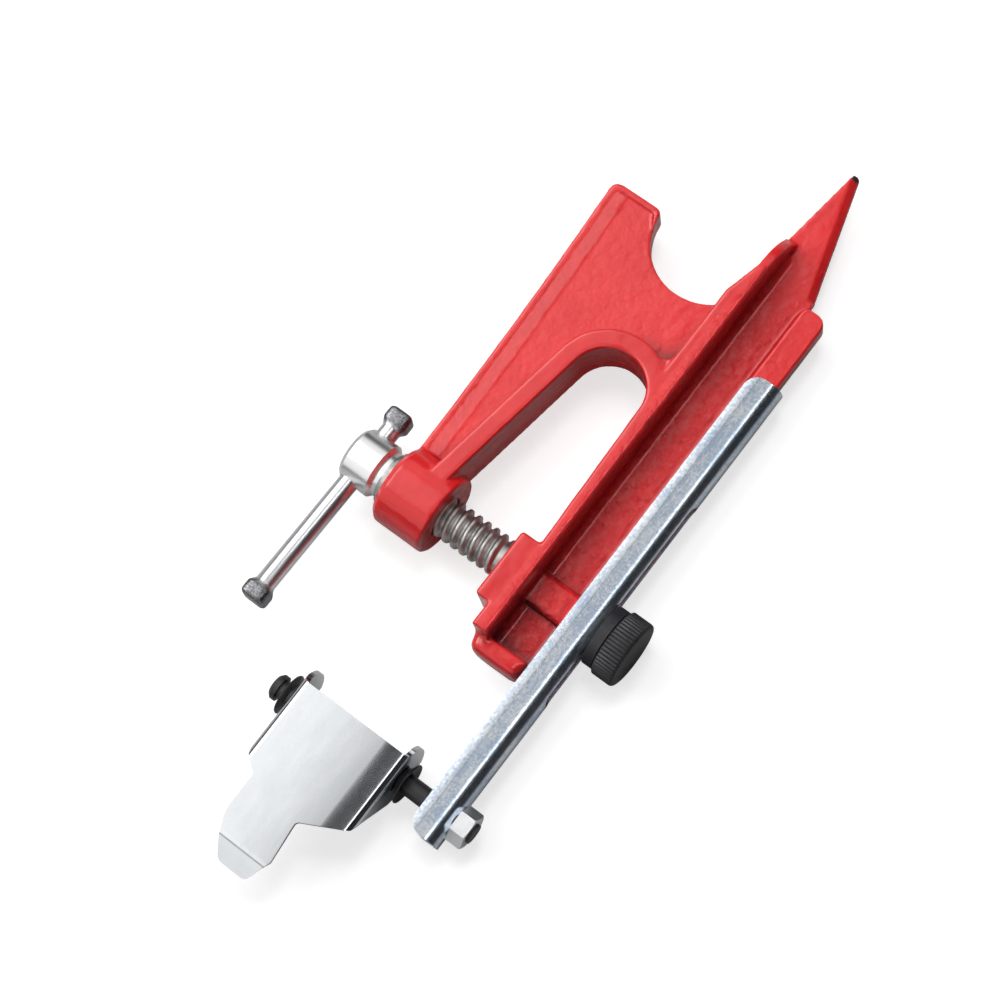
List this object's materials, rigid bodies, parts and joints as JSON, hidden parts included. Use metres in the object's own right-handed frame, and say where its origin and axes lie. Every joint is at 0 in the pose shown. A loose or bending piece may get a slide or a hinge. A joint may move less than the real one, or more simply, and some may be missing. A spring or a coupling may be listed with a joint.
{
  "type": "bar clamp",
  "caption": "Screw clamp that holds a chainsaw's bar in its throat, with a spike, a sliding arm and a swinging pawl.",
  "frame": {"origin": "where the clamp screw's axis meets the fixed jaw's face", "axes": "+X along the screw towards the fixed jaw, +Y along the casting towards the spike, +Z out of the front face; the clamp lies on its back"},
  "size_m": [0.1293, 0.3467, 0.0337],
  "materials": {
    "red_paint": "gloss paint on a rough casting",
    "bright_steel": "bright turned steel",
    "chromed_bar": "bright plated",
    "zinc_sheet": "bright zinc plate",
    "zinc_nut": "bright zinc plate",
    "black_steel": "blackened",
    "black_plastic": "moulded, ribbed"
  },
  "bodies": {
    "casting": {"cast_body": "red_paint"},
    "feed": {"thrust_washer": "bright_steel"},
    "screw": {"clamp_screw": "bright_steel"},
    "bar": {"t_bar": "chromed_bar"},
    "arm": {"arm_channel": "zinc_sheet", "pivot_pin": "black_steel", "pivot_nut": "zinc_nut", "push_ring_inner": "black_steel", "push_ring_outer": "black_steel"},
    "pawl": {"pawl_plate": "zinc_sheet"},
    "collar": {"knob_collar": "black_plastic"},
    "knob": {"clamp_knob": "black_plastic", "knob_stud": "bright_steel"}
  },
  "joints": [
    {"name": "screw_feed", "type": "slide", "parent": "casting", "child": "feed", "axis": [1, 0, 0], "range_m": [-0.02801, 0]},
    {"name": "screw_turn", "type": "hinge", "parent": "feed", "child": "screw", "pos_m": [0, 0, 0], "axis": [1, 0, 0], "range_deg": [-2520, 0]},
    {"name": "bar_slide", "type": "slide", "parent": "screw", "child": "bar", "axis": [0, 0.9981, -0.061], "range_m": [-0.002, 0.0455]},
    {"name": "arm_slide", "type": "slide", "parent": "casting", "child": "arm", "axis": [0, 1, 0], "range_m": [-0.054, 0.0295]},
    {"name": "pawl_swing", "type": "hinge", "parent": "arm", "child": "pawl", "pos_m": [0, -0.0862, -0.004], "axis": [1, 0, 0], "range_deg": [-120, 60]},
    {"name": "knob_feed", "type": "slide", "parent": "casting", "child": "collar", "axis": [1, 0, 0], "range_m": [0, 0.002]},
    {"name": "knob_turn", "type": "hinge", "parent": "collar", "child": "knob", "pos_m": [0.043, -0.0009, -0.004], "axis": [1, 0, 0], "range_deg": [0, 720]}
  ],
  "couplings": [
    {"joint": "screw_feed", "follows": "screw_turn", "m_per_rad": 0.00063662},
    {"joint": "knob_turn", "follows": "knob_feed", "rad_per_m": 6283.1}
  ]
}
